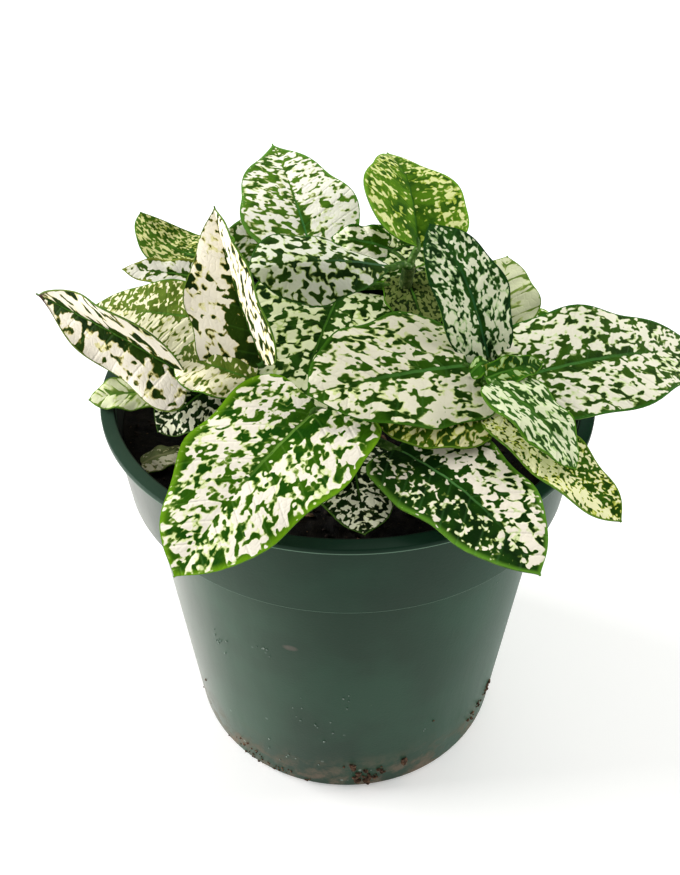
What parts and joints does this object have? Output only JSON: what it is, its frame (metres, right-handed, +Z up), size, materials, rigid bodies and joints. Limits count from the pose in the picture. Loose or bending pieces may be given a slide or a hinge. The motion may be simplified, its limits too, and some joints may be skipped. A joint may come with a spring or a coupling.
{
  "type": "potted foliage plant",
  "caption": "Low bushy polka dot plant with broad cream and green spotted leaves, in a round dark green plastic nursery pot filled with potting soil.",
  "frame": {"origin": "centre of the pot's flat underside", "axes": "+Z up along the pot's axis, -Y towards the front of the plant, +X to its right"},
  "size_m": [0.1538, 0.1397, 0.1443],
  "materials": {
    "pot_plastic": "satin dark green injection-moulded plastic",
    "soil": "loose dark peat-based potting soil",
    "leaf": "soft satin leaf, dark green blotched with cream",
    "dead_leaf": "dry mottled tan leaf"
  },
  "bodies": {
    "root": {"pot": "pot_plastic", "soil": "soil", "right_stem": "leaf", "front_stem": "leaf", "back_stem": "leaf", "left_stem": "leaf", "left_back_stem": "leaf", "right_back_stem": "leaf", "rear_stem": "leaf", "fallen_leaf": "dead_leaf"}
  },
  "joints": []
}
